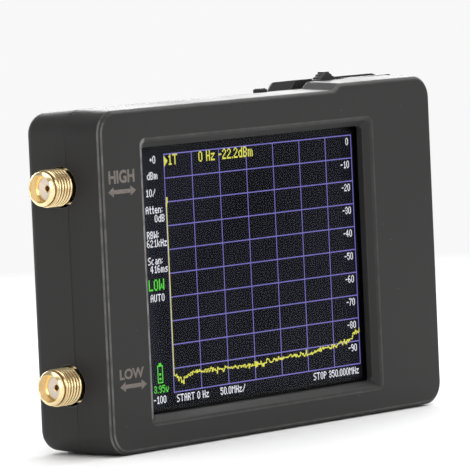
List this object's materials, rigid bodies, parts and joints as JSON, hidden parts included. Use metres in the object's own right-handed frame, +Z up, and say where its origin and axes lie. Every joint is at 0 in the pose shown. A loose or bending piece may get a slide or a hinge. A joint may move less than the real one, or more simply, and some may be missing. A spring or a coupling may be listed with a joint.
{
  "type": "handheld spectrum analyzer",
  "caption": "Pocket radio analyzer: dark two-shell case with a recessed touch screen, gold threaded coaxial jacks on one side, a slide switch and a jog lever on the top.",
  "frame": {"origin": "middle of the bottom edge, halfway between the two sides and between face and back", "axes": "+X to the right as seen from the front, -Y out of the screen, +Z up when it stands on its long bottom edge"},
  "size_m": [0.0965, 0.0172, 0.061],
  "materials": {
    "shell": "fine matt texture, dark grey",
    "screw_black": "black zinc",
    "gasket_foam": "black foam",
    "touch_glass": "clear and glossy",
    "display_glass": "dark glass with a lit picture",
    "backlight_white": "white tray",
    "tape_foam": "black foam tape",
    "flex_amber": "amber film over copper",
    "connector_ivory": "ivory moulding",
    "board": "green solder mask",
    "gold": "gold plating",
    "insulator": "white fluoropolymer",
    "shield_steel": "tinned steel",
    "socket_steel": "nickel plated steel",
    "chip_black": "moulded epoxy",
    "crystal_metal": "metal can",
    "coil_grey": "ferrite",
    "passive_tan": "ceramic with tinned ends",
    "control_black": "black nylon",
    "pin_steel": "bright steel",
    "cell_foil": "pouch foil",
    "pad_foam": "adhesive foam",
    "plug_white": "white nylon",
    "lead_red": "red insulation",
    "lead_black": "black insulation"
  },
  "bodies": {
    "case": {"front_shell": "shell", "rear_shell": "shell", "case_screws": "screw_black", "display_gasket": "gasket_foam", "touch_panel": "touch_glass", "lcd_panel": "display_glass", "lcd_backlight": "backlight_white", "display_tape": "tape_foam", "lcd_flex": "flex_amber", "flex_connector": "connector_ivory", "main_board": "board", "upper_sma_body": "gold", "upper_sma_dielectric": "insulator", "upper_sma_contact": "gold", "lower_sma_body": "gold", "lower_sma_dielectric": "insulator", "lower_sma_contact": "gold", "shield_frames": "shield_steel", "shield_covers": "shield_steel", "radio_chips": "chip_black", "microcontroller": "chip_black", "crystals": "crystal_metal", "power_chips": "chip_black", "coils": "coil_grey", "board_passives": "passive_tan", "usb_shell": "socket_steel", "usb_tongue": "chip_black", "usb_contacts": "gold", "switch_housing": "socket_steel", "jog_frame": "control_black", "jog_dome": "pin_steel", "battery_cell": "cell_foil", "battery_pad": "pad_foam", "battery_header": "connector_ivory", "battery_plug": "plug_white", "positive_lead": "lead_red", "negative_lead": "lead_black"},
    "slider": {"switch_slider": "control_black", "switch_wiper": "gold"},
    "plunger": {"jog_plunger": "control_black", "jog_pin": "pin_steel"},
    "lever": {"jog_lever": "control_black"}
  },
  "joints": [
    {"name": "power_switch", "type": "slide", "parent": "case", "child": "slider", "axis": [1, 0, 0], "range_m": [0, 0.002]},
    {"name": "jog_press", "type": "slide", "parent": "case", "child": "plunger", "axis": [0, 0, -1], "range_m": [0, 0.0004], "stiffness_N_per_m": 100, "springref_m": -0.0002},
    {"name": "jog_rock", "type": "hinge", "parent": "plunger", "child": "lever", "pos_m": [0.02635, 0.00045, 0.0541], "axis": [0, 1, 0], "range_deg": [-12, 12], "stiffness_Nm_per_rad": 0.0005}
  ]
}
